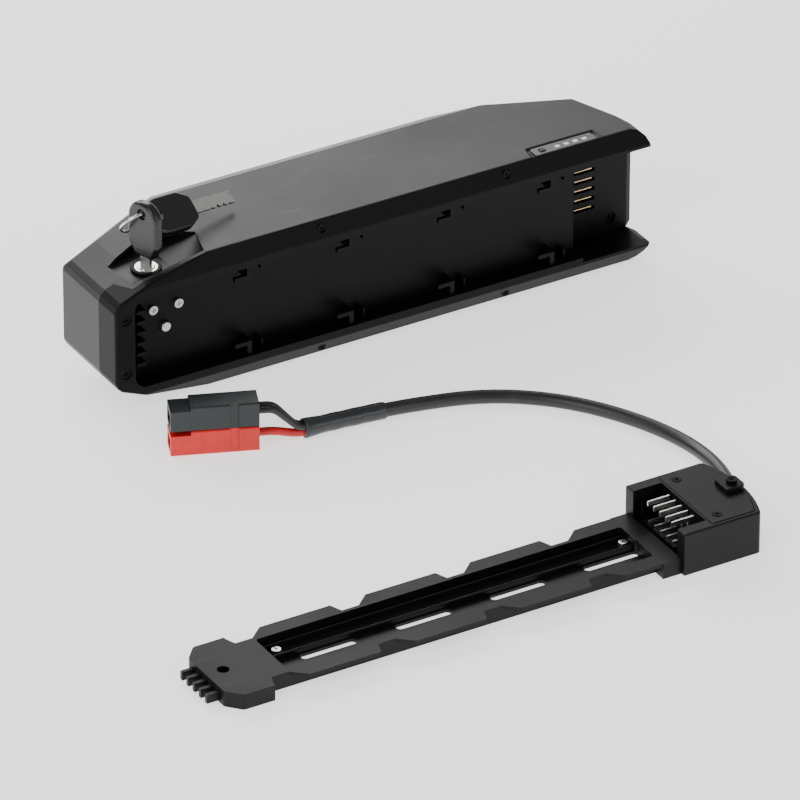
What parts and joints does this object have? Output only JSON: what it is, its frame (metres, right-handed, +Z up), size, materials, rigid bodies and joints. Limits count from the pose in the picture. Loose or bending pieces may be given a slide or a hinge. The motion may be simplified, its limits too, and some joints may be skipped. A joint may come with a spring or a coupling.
{
  "type": "battery pack",
  "caption": "Slide-on bicycle battery pack with keyed lock, charge gauge and cell block, beside its toothed frame dock with blade contacts and a wired lead.",
  "frame": {"origin": "middle of the dock's four fixing slots, on the dock's underside, which is the plane that everything lies on", "axes": "+X along the dock towards its contact box, +Y from the dock to the pack, +Z up, away from the bicycle frame's tube"},
  "size_m": [0.474, 0.426, 0.1232],
  "materials": {
    "case_black": "satin black moulded plastic",
    "case_grey": "satin dark grey moulded plastic",
    "dock_black": "fine matt black moulded plastic",
    "gasket": "soft sealing cord",
    "steel": "zinc plated",
    "lock_metal": "plated lock parts",
    "key_steel": "nickel plated key blade",
    "key_plastic": "black key bow",
    "window": "smoked gauge strip",
    "led": "white lamp diffuser",
    "button": "button",
    "board": "green circuit board",
    "chip": "component body",
    "cell": "cell in its blue sleeve",
    "holder": "cell holder",
    "nickel": "nickel strip",
    "card": "insulating card",
    "foam": "closed-cell foam",
    "copper": "plated contact",
    "blade": "tinned contact blade",
    "rubber": "black rubber",
    "cable": "cable sheath",
    "sleeve": "heat-shrink",
    "wire_red": "red insulation",
    "wire_black": "black insulation",
    "plug_red": "red connector plastic",
    "plug_black": "dark grey connector plastic"
  },
  "bodies": {
    "dock": {"dock_plate": "dock_black", "dock_screws": "steel", "dock_box": "dock_black", "box_cover": "dock_black", "cover_screws": "steel", "contact_block": "dock_black", "contact_blades": "blade", "cable_clamp": "dock_black", "clamp_screw": "steel", "gland": "rubber", "lead_cable": "cable", "heat_shrink": "sleeve", "wire_red": "wire_red", "wire_black_a": "wire_black", "wire_black_b": "wire_black", "plug_red": "plug_red", "plug_black": "plug_black", "plug_contacts": "copper"},
    "pack": {"case_shell": "case_grey", "case_channel_cover": "case_black", "case_gasket": "gasket", "case_screws": "steel", "channel_screws": "steel", "lock_bezel": "case_black", "lock_body": "lock_metal", "level_window": "window", "level_leds": "led", "level_board": "board", "charge_port": "case_black", "cells": "cell", "cell_holder_upper": "holder", "cell_holder_lower": "holder", "nickel_strips_upper": "nickel", "nickel_strips_lower": "nickel", "insulation_sheets": "card", "foam_pads": "foam", "bms_board": "board", "bms_components": "chip", "contact_socket": "case_black", "socket_contacts": "copper", "inner_leads": "wire_red"},
    "lock_core_and_key": {"lock_core": "lock_metal", "lock_cam": "steel", "key_blade": "key_steel", "key_bow": "key_plastic"},
    "lock_bolt": {"lock_bolt": "steel"},
    "key_ring": {"key_ring": "lock_metal"},
    "spare_key": {"spare_key_blade": "key_steel", "spare_key_bow": "key_plastic"},
    "level_button": {"level_button": "button"},
    "charge_cap": {"charge_cap": "rubber"}
  },
  "joints": [
    {"name": "pack_lift", "type": "slide", "parent": "dock", "child": "pack", "axis": [0, 0, 1], "range_m": [0, 0.15]},
    {"name": "key_turn", "type": "hinge", "parent": "pack", "child": "lock_core_and_key", "pos_m": [-0.037, 0.308, 0.06], "axis": [0, 0, 1], "range_deg": [0, 90]},
    {"name": "bolt_slide", "type": "slide", "parent": "pack", "child": "lock_bolt", "axis": [0, 1, 0], "range_m": [0, 0.0082]},
    {"name": "ring_swing", "type": "hinge", "parent": "lock_core_and_key", "child": "key_ring", "pos_m": [-0.037, 0.308, 0.116], "axis": [1, 0, 0], "range_deg": [0, 30]},
    {"name": "spare_swing", "type": "hinge", "parent": "key_ring", "child": "spare_key", "pos_m": [-0.02531, 0.31703, 0.1044], "axis": [-0.225, 0.5985, -0.7689], "range_deg": [-60, 5]},
    {"name": "level_press", "type": "slide", "parent": "pack", "child": "level_button", "axis": [0, 0, -1], "range_m": [0, 0.0008], "stiffness_N_per_m": 400, "springref_m": -0.0003},
    {"name": "charge_cap_swing", "type": "hinge", "parent": "pack", "child": "charge_cap", "pos_m": [-0.02921, 0.37232, 0.035], "axis": [-0.8795, -0.4759, 0], "range_deg": [0, 120]}
  ],
  "couplings": [
    {"joint": "bolt_slide", "follows": "key_turn", "m_per_rad": 0.005093}
  ]
}
